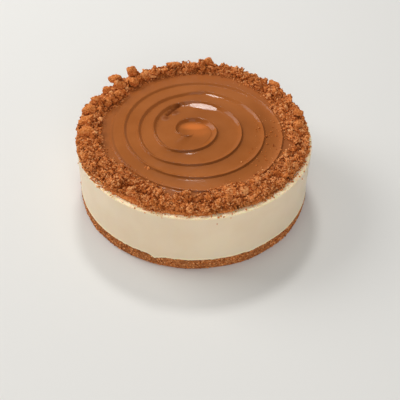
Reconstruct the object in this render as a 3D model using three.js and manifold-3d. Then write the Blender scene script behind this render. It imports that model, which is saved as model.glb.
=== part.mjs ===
// A whole round caramelised biscuit cheesecake: a pressed biscuit base, a tall smooth layer of cream filling, a layer
// of biscuit spread swirled into a spiral, and a ring of biscuit crumbs with larger chunks standing in it.
// Millimetres, +Z up. The origin is the middle of the flat underside.
import * as THREE from "three";
import { ImprovedNoise } from "three/addons/math/ImprovedNoise.js";
import { mergeVertices } from "three/addons/utils/BufferGeometryUtils.js";
import Module from "manifold-3d";

const wasm = await Module();
wasm.setup();

// Driving dimensions
const cakeRadius = 100;
const creamTop = 58.5; // height of the cream's rim above the underside
const baseHeight = 10.8; // mean thickness of the biscuit base
const spreadRadius = 94.5; // the spread stops short of the cream's rim
const spreadThickness = 2.4;
const crumbHeight = 6.4; // crest of the crumb ring above the spread
const gap = 0.3; // air between neighbouring pieces
const seamDepth = 9; // the seam of base and cream is uneven this far in from the side
const seamInset = 1.4; // where the base starts to round off at its side
const baseProud = 0.2; // how far the pressed base stands proud of the cream
const rimRounding = 1.1;
const edgeWave = 0.9; // of the spread's outline

// Fineness of the faceted pieces
const roundSteps = 104;
const spreadSteps = 80;
const coreSteps = 140;
const crumbCount = 430; // pressed into the ring's skin
const clumpCount = 24; // standing out of it

// Colours of the pieces
const baseColour = 0x8a5530;
const creamColour = 0xdcc9a6;
const spreadColour = 0x9c5a30;
const crumbColour = 0xa3602f;
const chunkColour = 0xa8672f;

const fullTurn = 2 * Math.PI;
const rad = THREE.MathUtils.degToRad;
const { clamp, lerp, smoothstep, seededRandom } = THREE.MathUtils;
const perlin = new ImprovedNoise();
seededRandom(20);
const between = (low, high) => lerp(low, high, seededRandom());

// Turns round the cake are counted clockwise from above, from the place where the spiral's hook starts.
const hookAngle = rad(205);
const angleAt = (turns) => hookAngle - turns * fullTurn;

// Smooth noise from -1 to 1 that closes on itself round the cake, with `lumps` bumps in a turn.
function roundNoise(angle, height, lumps, offset) {
  const reach = lumps / fullTurn;
  return 1.6 * perlin.noise(reach * Math.cos(angle) + offset, reach * Math.sin(angle) - offset, height + offset / 2);
}

// Solids

function geometryOf(positions, triangles) {
  const geometry = new THREE.BufferGeometry();
  geometry.setAttribute("position", new THREE.BufferAttribute(new Float32Array(positions), 3));
  geometry.setIndex(triangles);
  return geometry;
}

function manifoldOf(geometry) {
  const bare = geometry.clone();
  bare.deleteAttribute("normal");
  bare.deleteAttribute("uv");
  const merged = mergeVertices(bare, 1e-4);
  return new wasm.Manifold(
    new wasm.Mesh({
      numProp: 3,
      vertProperties: merged.getAttribute("position").array,
      triVerts: new Uint32Array(merged.index.array),
    }),
  );
}

function geometryFrom(manifold) {
  const mesh = manifold.getMesh();
  return geometryOf(mesh.vertProperties, Array.from(mesh.triVerts));
}

// Stitches sections that stand round the vertical axis into a closed skin. sectionAt(turn) lists a section's points
// as { key, radius, height } from the axis on top, over the outside, to the axis underneath. Neighbouring sections
// are joined in the order of their keys, so one section may hold more points than the next.
function stitchedRound(count, sectionAt) {
  const positions = [];
  const triangles = [];
  const sections = Array.from({ length: count }, (_, i) => sectionAt(i / count));
  const first = sections[0];
  const poles = [first[0], first[first.length - 1]];
  poles.forEach((pole) => positions.push(0, 0, pole.height));
  sections.forEach((section, i) => {
    const angle = angleAt(i / count);
    section.forEach((point, j) => {
      if (j === 0 || j === section.length - 1) {
        point.index = j === 0 ? 0 : 1;
        return;
      }
      point.index = positions.length / 3;
      positions.push(point.radius * Math.cos(angle), point.radius * Math.sin(angle), point.height);
    });
  });
  sections.forEach((left, i) => {
    const right = sections[(i + 1) % count];
    let a = 0;
    let b = 0;
    while (a < left.length - 1 || b < right.length - 1) {
      const leftMoves = b === right.length - 1 || (a < left.length - 1 && left[a + 1].key <= right[b + 1].key);
      const next = leftMoves ? left[a + 1] : right[b + 1];
      const corners = [left[a].index, right[b].index, next.index];
      if (new Set(corners).size === 3) triangles.push(...corners);
      if (leftMoves) a += 1;
      else b += 1;
    }
  });
  return geometryOf(positions, triangles);
}

// A closed turned body whose section changes on its way round. sectionAt(angle) lists the section's points as
// [radius, height], from the axis underneath, over the outside, to the axis on top.
function turnedBody(sectionAt) {
  const rows = sectionAt(0).length;
  const outline = sectionAt(0).map(([radius, height]) => new THREE.Vector2(radius, height));
  const geometry = new THREE.LatheGeometry(outline, roundSteps);
  const position = geometry.getAttribute("position");
  for (let i = 0; i < position.count; i++) {
    const column = Math.floor(i / rows) % roundSteps;
    const angle = (column / roundSteps) * fullTurn;
    const [radius, height] = sectionAt(angle)[i % rows];
    position.setXYZ(i, radius * Math.cos(angle), radius * Math.sin(angle), height);
  }
  return geometry;
}

// Spiral of the spread: a thin lip that starts in a hook near the middle and runs outwards, clockwise from above,
// with a shallow hollow between one turn and the next. The turns lie closer together towards the edge, and their
// middles drift off the cake's axis, as a hand leaves them.
const spiral = {
  startRadius: 7.8,
  growth: 26.2, // a turn
  slowing: 4.05,
  widening: 0.47,
  offsetX: -5.9,
  driftX: 3.4, // a turn
  offsetY: 2.4,
  hookTurns: 0.13, // before its start the lip curls in over the middle
  hookCurl: 0.15, // turns in which it would reach the axis
  turns: 4.15,
};

// Where the hand wavered: turns from the hook, half width in turns, and millimetres outwards.
const wavers = [
  { at: 0.555, width: 0.1, out: 1.3 },
  { at: 0.93, width: 0.06, out: 1.9 },
  { at: 1.275, width: 0.15, out: 3.4 },
  { at: 1.95, width: 0.06, out: 1.9 },
  { at: 2.34, width: 0.04, out: 1.6 },
  { at: 3.21, width: 0.13, out: 2.6 },
  { at: 3.555, width: 0.13, out: -2.7 },
];

function lipRadius(turns) {
  const started = Math.max(turns, 0);
  const angle = angleAt(started);
  let radius = spiral.startRadius + spiral.growth * started;
  radius += spiral.widening * started ** 3 - spiral.slowing * started ** 2;
  radius += (spiral.offsetX + spiral.driftX * started) * Math.cos(angle) + spiral.offsetY * Math.sin(angle);
  for (const { at, width, out } of wavers) radius += out * Math.exp(-(((started - at) / width) ** 2));
  return radius * Math.min(1, 1 + turns / spiral.hookCurl);
}

// Relief of the spread: a crest that the surface climbs to from both sides, with a thin lip standing on it.
const relief = {
  crest: 0.9,
  lip: 0.7,
  lipWidth: 1.5, // half of it
  slope: 0.3, // of the hollows where they meet a crest
  pool: 1.3, // depth of the middle below the flat level
  poolWall: 3.2, // width of the wall round it
  outerFlank: 9, // from the last crest down to the flat level
};

// A crest at a place of the spiral: { turns, at, height, presence }, where it starts from nothing in the hook.
function crestAt(turns) {
  const fades = lerp(1, 0.5, smoothstep(turns, 1.2, 4)) * (1 - smoothstep(turns, spiral.turns - 0.2, spiral.turns));
  return {
    turns,
    at: lipRadius(turns),
    height: relief.crest * fades,
    presence: smoothstep(turns, -spiral.hookTurns, -0.02),
  };
}

// Inside the first crest the surface is a bowl: steep at the pool, and wide where the crest has left it.
function bowlHeight(crest, radius) {
  const wall = lerp(relief.poolWall, 0.85 * crest.at, smoothstep(crest.turns, 0.35, 0.65));
  const climb = Math.max(0, 1 + (radius - crest.at) / wall) ** 1.6;
  return lerp(-relief.pool, crest.height, climb);
}

function heightAmong(crests, radius) {
  const next = crests.findIndex((crest) => radius < crest.at);
  if (next === 0) return bowlHeight(crests[0], radius);
  const inner = crests[next < 0 ? crests.length - 1 : next - 1];
  const past = radius - inner.at;
  if (next < 0) return inner.height * Math.max(0, 1 - past / relief.outerFlank);
  const outer = crests[next];
  const width = outer.at - inner.at;
  const slope = relief.slope * lerp(1, 0.6, smoothstep(outer.turns, 2.2, 4)) * outer.presence;
  return lerp(inner.height, outer.height, past / width) - (slope * past * (outer.at - radius)) / width;
}

// Height of the spread's top above its flat level, at a radius, where the spiral's first crest is at firstTurn.
function swirlRelief(firstTurn, radius) {
  const crests = [];
  for (let turns = firstTurn - 1; turns < spiral.turns; turns += 1)
    if (turns > -spiral.hookTurns) crests.push(crestAt(turns));
  const height = lerp(heightAmong(crests.slice(1), radius), heightAmong(crests, radius), crests[0].presence);
  const lips = crests.map(({ at, height, presence }) => {
    const tallness = (relief.lip * presence * height) / relief.crest;
    return tallness * Math.exp(-(((radius - at) / relief.lipWidth) ** 2));
  });
  return height + Math.max(...lips);
}

// The edge of the spread sinks a little under the crumbs.
const edgeDrop = 0.75;
const edgeSink = (radius) => -edgeDrop * smoothstep(radius, 66, spreadRadius);

// Biscuit base and cream share an uneven seam, which only runs level inside the cake.
function seamHeight(angle) {
  const towardsLeft = 1.3 * Math.cos(angle - rad(215));
  return baseHeight + towardsLeft + 0.5 * roundNoise(angle, 0, 26, 3.3) + 0.5 * roundNoise(angle, 0, 70, 8.1);
}

function makeBase() {
  const outer = cakeRadius + baseProud;
  const crag = (angle, height) =>
    0.75 * roundNoise(angle, height * 0.3, 90, 5.7) + 0.5 * roundNoise(angle, height * 0.15, 24, 1.9);
  return turnedBody((angle) => {
    const top = seamHeight(angle);
    return [
      [0, 0],
      [outer - 0.7 + 0.5 * crag(angle, 0), 0],
      [outer + crag(angle, top * 0.27), top * 0.27],
      [outer + crag(angle, top * 0.6), top * 0.6],
      [outer - 0.3 + crag(angle, top), top - 1],
      [cakeRadius - seamInset, top],
      [cakeRadius - seamDepth, baseHeight],
      [0, baseHeight],
    ];
  });
}

function makeCream() {
  return turnedBody((angle) => {
    const seam = seamHeight(angle) + 1.5 * gap;
    return [
      [0, baseHeight + gap],
      [cakeRadius - seamDepth, baseHeight + gap],
      [cakeRadius - seamInset, seam],
      [cakeRadius, seam],
      [cakeRadius, creamTop - rimRounding],
      [cakeRadius - rimRounding, creamTop],
      [0, creamTop],
    ];
  });
}

const spreadLevel = creamTop + gap + spreadThickness;

function makeSpread() {
  const steps = [
    { across: 0, past: 0, share: 0 },
    { across: 0, past: 1.7, share: 0.1 },
    { across: 0.5, past: 0, share: 0.5 },
    { across: 1, past: -1.7, share: 0.9 },
  ]; // across the band from one crest to the next, millimetres past it, and the share of a turn that this stands for
  return stitchedRound(spreadSteps, (firstTurn) => {
    const edge = spreadRadius + edgeWave * roundNoise(angleAt(firstTurn), 0, 12, 2.2);
    const top = (key, radius) => ({
      key,
      radius,
      height: spreadLevel + edgeSink(radius) + swirlRelief(firstTurn, radius),
    });
    const section = [top(-2, 0)];
    const firstLip = firstTurn - 1 > -spiral.hookTurns ? firstTurn - 1 : firstTurn;
    for (let band = 0; firstLip + band - 1 < spiral.turns; band++)
      for (const { across, past, share } of steps) {
        if (band === 0 && across === 0) continue;
        const turns = firstLip + band - 1;
        const radius = lerp(band === 0 ? 0 : lipRadius(turns), lipRadius(turns + 1), across) + past;
        const before = section[section.length - 1].radius;
        if (radius > before + 0.6 && radius < edge - 5) section.push(top(turns + share, radius));
      }
    const rim = spreadLevel + edgeSink(spreadRadius);
    section.push({ key: 20, radius: edge - 3, height: rim });
    section.push({ key: 21, radius: edge - 0.4, height: rim - 1 });
    section.push({ key: 22, radius: edge - 0.3, height: creamTop + gap });
    section.push({ key: 23, radius: 0, height: creamTop + gap });
    return section;
  });
}

// Crumb ring: coarse and high behind and on the left, fine and lower in front, where the cream's rim shows.
const coarseness = (angle) => 0.5 + 0.5 * Math.cos(angle - rad(125));
const reachesRim = (angle) => smoothstep(Math.cos(angle - rad(98)), -0.56, -0.3);

// Where the heap's edges leave their mean line: degrees of turn, half width in degrees, and millimetres outwards.
const innerBays = [
  { at: 4, width: 7, out: -2.5 },
  { at: 24, width: 14, out: -4 },
  { at: 85, width: 24, out: 4 },
  { at: 120, width: 18, out: 2.5 },
  { at: 150, width: 9, out: -4 },
  { at: 170, width: 12, out: 3.5 },
  { at: 222, width: 8, out: -6 },
  { at: 247, width: 5, out: -3 },
  { at: 264, width: 13, out: 6.5 },
  { at: 292, width: 8, out: -3 },
  { at: 325, width: 16, out: 1.5 },
  { at: 348, width: 6, out: 6.5 },
];
const outerBays = [
  { at: 250, width: 36, out: 1.3 },
  { at: 325, width: 15, out: -1.6 },
];

function shiftOf(bays, angle) {
  let shift = 0;
  for (const { at, width, out } of bays) {
    const away = Math.acos(Math.cos(angle - rad(at))) / rad(width);
    shift += out * Math.exp(-(away ** 2));
  }
  return shift;
}

function ringEdges(angle) {
  const innerMean = 79 + 5.2 * Math.sin(angle);
  const outerMean = lerp(96.6, 100, reachesRim(angle));
  return {
    inner: innerMean + shiftOf(innerBays, angle) + 1.7 * roundNoise(angle, 0, 60, 9.2),
    outer: outerMean + shiftOf(outerBays, angle) + 1.1 * roundNoise(angle, 0, 50, 7.5),
  };
}

const toeHeight = 0.95; // of the heap's edges above the spread
const domeShare = (across) => Math.sin(Math.PI * clamp(across, 0.001, 0.999) ** 0.85) ** 0.55;

function ringHeight(angle, across) {
  const crest = crumbHeight * lerp(0.82, 0.98, coarseness(angle));
  return spreadLevel + lerp(toeHeight, crest - 0.6, domeShare(across));
}

// Crumbs packed over the heap, spread evenly round it and across it: { x, y, z, radius } of each.
function packedCrumbs(count, sizes, sunk) {
  const goldenShare = 0.618034;
  return Array.from({ length: count }, (_, i) => {
    const angle = (fullTurn * (i + between(-0.4, 0.4))) / count;
    const across = 0.05 + 0.92 * ((i * goldenShare + between(0, 0.12)) % 1);
    const { inner, outer } = ringEdges(angle);
    const from = lerp(inner, outer, across);
    const radius = lerp(sizes.fine, sizes.coarse, coarseness(angle)) * between(0.75, 1.3);
    return {
      x: from * Math.cos(angle),
      y: from * Math.sin(angle),
      z: ringHeight(angle, across) - sunk * radius,
      radius,
    };
  });
}

// Height at a place of the skin over the packed crumbs, but no less than the heap's own.
function skinHeight(crumbs, x, y, least) {
  let height = least;
  for (const crumb of crumbs) {
    const roomAbove = crumb.radius ** 2 - (crumb.x - x) ** 2 - (crumb.y - y) ** 2;
    if (roomAbove > 0) height = Math.max(height, crumb.z + Math.sqrt(roomAbove));
  }
  return height;
}

function makeRingCore() {
  const shares = [0, 0.12, 0.26, 0.41, 0.56, 0.71, 0.86, 1];
  const crumbs = packedCrumbs(crumbCount, { fine: 2, coarse: 3.1 }, 0.45);
  const buried = creamTop - 2;
  const tubeSteps = shares.length + 2;
  const geometry = new THREE.TorusGeometry(cakeRadius, 5, tubeSteps, coreSteps);
  const position = geometry.getAttribute("position");
  for (let i = 0; i < position.count; i++) {
    const around = (i % (coreSteps + 1)) % coreSteps;
    const step = Math.floor(i / (coreSteps + 1)) % tubeSteps;
    // The tube's steps run from the outer toe over the crest to the inner toe, then back underneath.
    const onTop = step < shares.length;
    const isToe = step === 0 || step === shares.length - 1;
    const across = onTop ? 1 - shares[step] : step === shares.length ? 0.05 : 0.95;
    const shake = (offset) => perlin.noise(around * 0.83 + offset, step * 1.71, offset);
    const angle = ((around + (onTop && !isToe ? 0.7 * shake(2.4) : 0)) / coreSteps) * fullTurn;
    const { inner, outer } = ringEdges(angle);
    const radius = lerp(inner, outer, across);
    const x = radius * Math.cos(angle);
    const y = radius * Math.sin(angle);
    const height = ringHeight(angle, across) - (isToe ? 0 : 1.1);
    position.setXYZ(i, x, y, onTop ? skinHeight(crumbs, x, y, height) : buried);
  }
  return geometry;
}

// A rough lump: an icosahedron made a little squarer, whose corners are pushed in and out.
function roughLump(size, detail, roughness, seed) {
  const squareness = 2.7; // 2 is round
  const geometry = new THREE.IcosahedronGeometry(1, detail);
  const position = geometry.getAttribute("position");
  const corner = new THREE.Vector3();
  for (let i = 0; i < position.count; i++) {
    corner.fromBufferAttribute(position, i);
    const reach = corner.toArray().reduce((sum, side) => sum + Math.abs(side) ** squareness, 0);
    const push = 1 + roughness * perlin.noise(1.7 * corner.x + seed, 1.7 * corner.y - seed, 1.7 * corner.z + 3 * seed);
    corner.multiplyScalar(push * reach ** (-1 / squareness)).multiply(size);
    position.setXYZ(i, corner.x, corner.y, corner.z);
  }
  return geometry;
}

// Clumps standing out of the heap.
function makeClumps(count) {
  return packedCrumbs(count, { fine: 2.5, coarse: 3.6 }, -0.25).map(({ x, y, z, radius }, i) => {
    const size = new THREE.Vector3(between(0.9, 1.3), between(0.8, 1.05), between(0.7, 1)).multiplyScalar(radius);
    const turn = new THREE.Euler(between(0, fullTurn), between(0, fullTurn), between(0, fullTurn));
    const geometry = roughLump(size, 0, 0.4, 10 + i * 0.7);
    geometry.applyMatrix4(new THREE.Matrix4().makeRotationFromEuler(turn));
    return manifoldOf(geometry.translate(x, y, z));
  });
}

// The larger biscuit chunks, each by where it stands, how far its middle is up from the spread's level, and its half
// sizes along, across and up before it is tilted.
const chunks = [
  { name: "chunk_tall", at: 127.6, from: 96.4, up: 7.9, half: [4.9, 4.2, 5.9], tilt: [10, -14, 30] },
  { name: "chunk_overhang", at: 137.6, from: 100.1, up: 6.2, half: [6.5, 3.6, 3.4], tilt: [8, -14, 12] },
  { name: "chunk_stacked", at: 139, from: 91, up: 5.5, half: [5.6, 3.4, 3.8], tilt: [-10, 8, 10] },
  { name: "chunk_round", at: 131, from: 86, up: 5.1, half: [4.5, 4.3, 4], tilt: [6, 12, 65] },
  { name: "chunk_inner", at: 146, from: 84.4, up: 4.1, half: [5.3, 3.6, 3.2], tilt: [-8, -10, 20] },
  { name: "chunk_upright", at: 148, from: 93.6, up: 6.1, half: [3.6, 3.3, 4.7], tilt: [6, 8, 20] },
  { name: "chunk_square", at: 156.2, from: 84.6, up: 4.7, half: [4.6, 4, 3.6], tilt: [10, -8, 40] },
  { name: "chunk_lump", at: 157.6, from: 94.8, up: 5.3, half: [4.2, 4.2, 3.8], tilt: [-6, 10, 30] },
  { name: "chunk_left_lump", at: 166.6, from: 94.2, up: 5.5, half: [5.8, 4.2, 3.8], tilt: [-6, -8, 30] },
  { name: "chunk_left_slab", at: 176, from: 91.8, up: 6.2, half: [7.4, 4, 3], tilt: [18, -16, 18] },
  { name: "chunk_left_low", at: 185.2, from: 90.8, up: 5.3, half: [7.2, 4, 3.2], tilt: [20, -12, 14] },
  { name: "chunk_pointed", at: 83.2, from: 97.6, up: 7.3, half: [4.6, 3.3, 3.9], tilt: [8, -34, 5] },
  { name: "chunk_back_slab", at: 102.9, from: 95, up: 5.6, half: [7.8, 3.6, 2.5], tilt: [-8, 6, 8] },
  { name: "chunk_right_slab", at: 42.2, from: 96.4, up: 5.6, half: [5.9, 3.4, 2.5], tilt: [-12, 10, -35] },
  { name: "chunk_right_round", at: 14.4, from: 93, up: 5.3, half: [4.2, 3.7, 3.2], tilt: [5, 8, 0] },
  { name: "chunk_right_low", at: 4.6, from: 88.2, up: 5.1, half: [4.3, 3.5, 3], tilt: [0, -8, 20] },
];

function placedChunk(chunk, index, swell) {
  const size = new THREE.Vector3(...chunk.half).addScalar(swell);
  const mesh = new THREE.Mesh(roughLump(size, 1, 0.36, 2 + 1.9 * index));
  const angle = rad(chunk.at);
  mesh.position.set(chunk.from * Math.cos(angle), chunk.from * Math.sin(angle), spreadLevel + chunk.up);
  mesh.rotation.set(...chunk.tilt.map(rad));
  mesh.updateMatrix();
  return mesh;
}

// The hollow that a chunk presses into the heap: the chunk's own shape with air all round.
function chunkHollow(chunk, index) {
  const mesh = placedChunk(chunk, index, 1.5 * gap);
  return manifoldOf(mesh.geometry.applyMatrix4(mesh.matrix));
}

// The room that the cream and the spread take up below the crumbs: a step, with its own air gap.
function roomBelow() {
  const step = spreadRadius + 1.3 * edgeWave + gap;
  const profile = [
    [0, creamTop - 10],
    [cakeRadius + 20, creamTop - 10],
    [cakeRadius + 20, creamTop + gap],
    [step, creamTop + gap],
    [step, spreadLevel + toeHeight],
    [0, spreadLevel + toeHeight],
  ];
  const points = profile.map(([radius, height]) => new THREE.Vector2(radius, height));
  return manifoldOf(new THREE.LatheGeometry(points, 72).rotateX(Math.PI / 2));
}

function makeRing() {
  const heap = wasm.Manifold.union([manifoldOf(makeRingCore()), ...makeClumps(clumpCount)]);
  const cut = heap.subtract(wasm.Manifold.union([roomBelow(), ...chunks.map(chunkHollow)]));
  const bodies = cut.decompose().sort((a, b) => b.volume() - a.volume());
  return geometryFrom(bodies[0]);
}

// Assembly
const cake = new THREE.Group();

const finish = (color, roughness) =>
  new THREE.MeshStandardMaterial({ color, roughness, metalness: 0, flatShading: true });

function addPiece(name, geometry, material) {
  const mesh = new THREE.Mesh(geometry, material);
  mesh.name = name;
  cake.add(mesh);
}

addPiece("biscuit_base", makeBase(), finish(baseColour, 0.9));
addPiece("cream_filling", makeCream(), finish(creamColour, 0.55));
addPiece("biscuit_spread", makeSpread(), finish(spreadColour, 0.3));
addPiece("crumb_ring", makeRing(), finish(crumbColour, 0.9));

const chunkGroup = new THREE.Group();
chunks.forEach((chunk, i) => {
  const mesh = placedChunk(chunk, i, 0);
  mesh.name = chunk.name;
  mesh.material = finish(chunkColour, 0.9);
  chunkGroup.add(mesh);
});
cake.add(chunkGroup);

export default cake;
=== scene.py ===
import math

import bmesh
import bpy
import numpy as np
from mathutils import Matrix, Vector, noise


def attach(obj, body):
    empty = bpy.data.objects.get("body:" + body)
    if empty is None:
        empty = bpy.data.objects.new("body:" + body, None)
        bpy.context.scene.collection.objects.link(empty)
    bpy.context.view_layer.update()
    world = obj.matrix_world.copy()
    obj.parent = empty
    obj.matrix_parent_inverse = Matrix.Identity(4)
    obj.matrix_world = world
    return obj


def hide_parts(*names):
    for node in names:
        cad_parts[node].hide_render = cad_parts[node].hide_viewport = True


# The model comes in as the fixed frame. Forms are made in millimetres and brought to metres in addPiece.
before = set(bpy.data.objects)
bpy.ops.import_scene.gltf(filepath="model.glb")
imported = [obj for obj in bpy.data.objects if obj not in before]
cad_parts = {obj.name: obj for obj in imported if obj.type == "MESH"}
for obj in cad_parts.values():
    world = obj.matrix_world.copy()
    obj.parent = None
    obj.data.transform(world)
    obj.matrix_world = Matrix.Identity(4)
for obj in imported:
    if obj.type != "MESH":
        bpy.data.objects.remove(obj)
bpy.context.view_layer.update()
print("frame loaded:", len(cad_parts), "nodes")

mm = 0.001
fullTurn = 2 * math.pi
draw = np.random.default_rng(20)  # every random choice comes from here
noise.seed_set(20)  # noise_vector starts elsewhere in every run without it

cake = {
    "radius": 100.0,
    "creamTop": 58.5,
    "baseHeight": 10.8,
    "spreadRadius": 94.5,
    "spreadLevel": 61.2,
}


def mix(low, high, share):
    return low + (high - low) * share


def smoothStep(value, low, high):
    share = np.clip((value - low) / (high - low), 0, 1)
    return share * share * (3 - 2 * share)


def turnedFrom(degrees, at):  # from -180 to 180
    return (degrees - at + 180) % 360 - 180


def near(degrees, at, width):  # 1 at this bearing, falling to 0 beside it
    return np.exp(-((turnedFrom(degrees, at) / width) ** 2))


def leftBehind(degrees):  # from 0 in front on the right to 1 behind on the left
    return 0.5 + 0.5 * np.cos(np.radians(degrees - 125))


def besideLine(x, y, first, last):  # share of the way along a line, and distance from it
    (x1, y1), (x2, y2) = first, last
    along = ((x - x1) * (x2 - x1) + (y - y1) * (y2 - y1)) / ((x2 - x1) ** 2 + (y2 - y1) ** 2)
    nearest = min(1, max(0, along))
    return along, math.hypot(x - mix(x1, x2, nearest), y - mix(y1, y2, nearest))


def polar(x, y):
    return math.atan2(y, x), math.hypot(x, y)


def roundNoise(angle, height, lumps, offset):  # closes on itself, with that many lumps in a turn
    reach = lumps / fullTurn
    place = (reach * math.cos(angle) + offset, reach * math.sin(angle) - offset, height + offset / 2)
    return 1.6 * noise.noise(place)


# Camera, at the photo's angle: tilt up from straight down, roll and lens in degrees and millimetres
cameraValues = {"place": (0.0059, -0.4707, 0.4453), "tilt": 45.37, "roll": 1.03, "lens": 63.9}


def addCamera(values):
    data = bpy.data.cameras.new("camera")
    data.lens = values["lens"]
    data.sensor_width = 36
    data.clip_start = 0.01
    camera = bpy.data.objects.new("camera", data)
    tilt = Matrix.Rotation(math.radians(values["tilt"]), 4, "X")
    roll = Matrix.Rotation(math.radians(values["roll"]), 4, "Z")
    camera.matrix_world = Matrix.Translation(values["place"]) @ tilt @ roll
    bpy.context.scene.collection.objects.link(camera)
    bpy.context.scene.camera = camera


addCamera(cameraValues)
print("camera placed")


# Helpers for finishes

def tint(red, green, blue):  # 0 to 255 on screen, to the shader's linear colour
    shares = [c / 255 for c in (red, green, blue)]
    linear = [c / 12.92 if c < 10 / 255 else ((c + 0.055) / 1.055) ** 2.4 for c in shares]
    return (*linear, 1)


def newFinish(name, **sockets):
    finish = bpy.data.materials.new(name)
    finish.use_nodes = True
    shader = finish.node_tree.nodes["Principled BSDF"]
    for socket, value in sockets.items():
        shader.inputs[socket.replace("_", " ")].default_value = value
    return finish, finish.node_tree, shader


def addNode(tree, kind, inputs, **settings):
    node = tree.nodes.new(kind)
    for key, value in settings.items():
        setattr(node, key, value)
    for socket, value in inputs.items():
        if isinstance(value, bpy.types.NodeSocket):
            tree.links.new(value, node.inputs[socket])
        else:
            node.inputs[socket].default_value = value
    return node


def objectPlace(tree):
    return addNode(tree, "ShaderNodeTexCoord", {}).outputs["Object"]


def addNoise(tree, place, scale, detail=2.0, roughness=0.5):
    inputs = {"Vector": place, "Scale": scale, "Detail": detail, "Roughness": roughness}
    return addNode(tree, "ShaderNodeTexNoise", inputs).outputs["Fac"]


def addRamp(tree, share, stops):
    ramp = addNode(tree, "ShaderNodeValToRGB", {"Fac": share})
    marks = ramp.color_ramp.elements
    while len(marks) < len(stops):
        marks.new(0.5)
    for mark, (position, colour) in zip(marks, stops):
        mark.position = position
        mark.color = colour
    return ramp.outputs["Color"]


def addMath(tree, operation, first, second):
    return addNode(tree, "ShaderNodeMath", {0: first, 1: second}, operation=operation).outputs[0]


def addMix(tree, share, first, second, blend="MIX"):
    inputs = {0: share, 6: first, 7: second}
    return addNode(tree, "ShaderNodeMix", inputs, data_type="RGBA", blend_type=blend).outputs[2]


def addRange(tree, value, fromRange=(0, 1), toRange=(0, 1)):
    inputs = {"Value": value, "From Min": fromRange[0], "From Max": fromRange[1]}
    inputs.update({"To Min": toRange[0], "To Max": toRange[1]})
    return addNode(tree, "ShaderNodeMapRange", inputs).outputs[0]


def addBiscuitRamp(tree, share, colours, marks):
    tints = [tint(*colours[name]) for name in ("dark", "middle", "light")]
    return addRamp(tree, share, list(zip(marks, tints)))


def addBump(tree, shader, height, strength, distance):
    inputs = {"Height": height, "Strength": strength, "Distance": distance}
    bump = addNode(tree, "ShaderNodeBump", inputs)
    tree.links.new(bump.outputs["Normal"], shader.inputs["Normal"])


def readAttribute(tree, name):
    return addNode(tree, "ShaderNodeAttribute", {}, attribute_name=name).outputs["Fac"]


# Helpers for forms

def spunForm(section, steps):
    form = bmesh.new()
    line = [form.verts.new((radius, 0, height)) for radius, height in section]
    edges = [form.edges.new(pair) for pair in zip(line, line[1:])]
    whole = {"cent": (0, 0, 0), "axis": (0, 0, 1), "angle": fullTurn, "use_merge": True}
    bmesh.ops.spin(form, geom=line + edges, steps=steps, **whole)
    bmesh.ops.remove_doubles(form, verts=form.verts, dist=0.001)
    bmesh.ops.recalc_face_normals(form, faces=form.faces)
    return form


def rowOf(first, last, step):  # evenly spaced points from first to last, as (radius, height)
    count = max(1, round(math.dist(first, last) / step))
    return [tuple(mix(a, b, i / count) for a, b in zip(first, last)) for i in range(count)]


def formOfNode(name):  # a merged copy of a CAD node, in millimetres
    form = bmesh.new()
    form.from_mesh(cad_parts[name].data)
    bmesh.ops.scale(form, vec=(1 / mm,) * 3, verts=form.verts)
    bmesh.ops.remove_doubles(form, verts=form.verts, dist=0.001)
    return form


def remeshed(form, voxel):
    mesh = bpy.data.meshes.new("rough")
    form.to_mesh(mesh)
    form.free()
    rough = bpy.data.objects.new("rough", mesh)
    bpy.context.scene.collection.objects.link(rough)
    modifier = rough.modifiers.new("Remesh", "REMESH")
    modifier.mode = "VOXEL"
    modifier.voxel_size = voxel
    done = bmesh.new()
    done.from_object(rough, bpy.context.evaluated_depsgraph_get())
    bpy.data.objects.remove(rough)
    bpy.data.meshes.remove(mesh)
    return done


def addPiece(name, mesh, finish, replaced=()):
    mesh.transform(Matrix.Scale(mm, 4))
    mesh.materials.append(finish)
    mesh.polygons.foreach_set("use_smooth", [True] * len(mesh.polygons))
    piece = bpy.data.objects.new(name, mesh)
    bpy.context.scene.collection.objects.link(piece)
    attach(piece, "root")
    if replaced:
        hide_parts(*replaced)
    print(name, len(mesh.polygons), "faces")


def meshOf(name, form):
    mesh = bpy.data.meshes.new(name)
    form.to_mesh(mesh)
    form.free()
    return mesh


# Biscuit base and cream share an uneven seam
seamValues = {
    "reach": 9.0,  # how far in from the side it is uneven
    "towardsLeft": 1.3,  # higher on the left
    "leftBearing": 215,
    "waves": (  # height, how many in a turn, and where the pattern starts
        (0.5, 26, 3.3),
        (0.45, 70, 8.1),
        (0.3, 260, 5.2),
    ),
    "notches": (  # at, half width and depth
        (253.4, 2.3, 1.9),
        (252.6, 0.8, 1.4),
        (246.0, 0.5, 0.8),
        (236.5, 0.7, 1.0),
        (262.0, 0.6, 0.7),
    ),
}


def seamHeight(angle):
    values = seamValues
    towardsLeft = math.cos(angle - math.radians(values["leftBearing"]))
    height = cake["baseHeight"] + values["towardsLeft"] * towardsLeft
    for wave, count, start in values["waves"]:
        height += wave * roundNoise(angle, 0, count, start)
    for at, width, depth in values["notches"]:
        away = turnedFrom(math.degrees(angle), at)
        height -= depth * math.exp(-((away / width) ** 2))
    return height


baseValues = {
    "steps": 840,
    "sideStep": 0.7,
    "proud": 0.2,
    "rounding": 0.8,
    "gap": 0.15,  # below the seam
    "cragSize": 1.9,
    "cragDepth": 0.95,
    "bulge": 0.35,
    "dark": (118, 62, 26),
    "middle": (178, 108, 58),
    "light": (220, 154, 96),
    "grainScale": 620,
    "patchScale": 55,
    "patchTints": ((0.78, 0.74, 0.7, 1), (1.1, 1.08, 1.05, 1)),
    "bumpScale": 1500,
}


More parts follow.
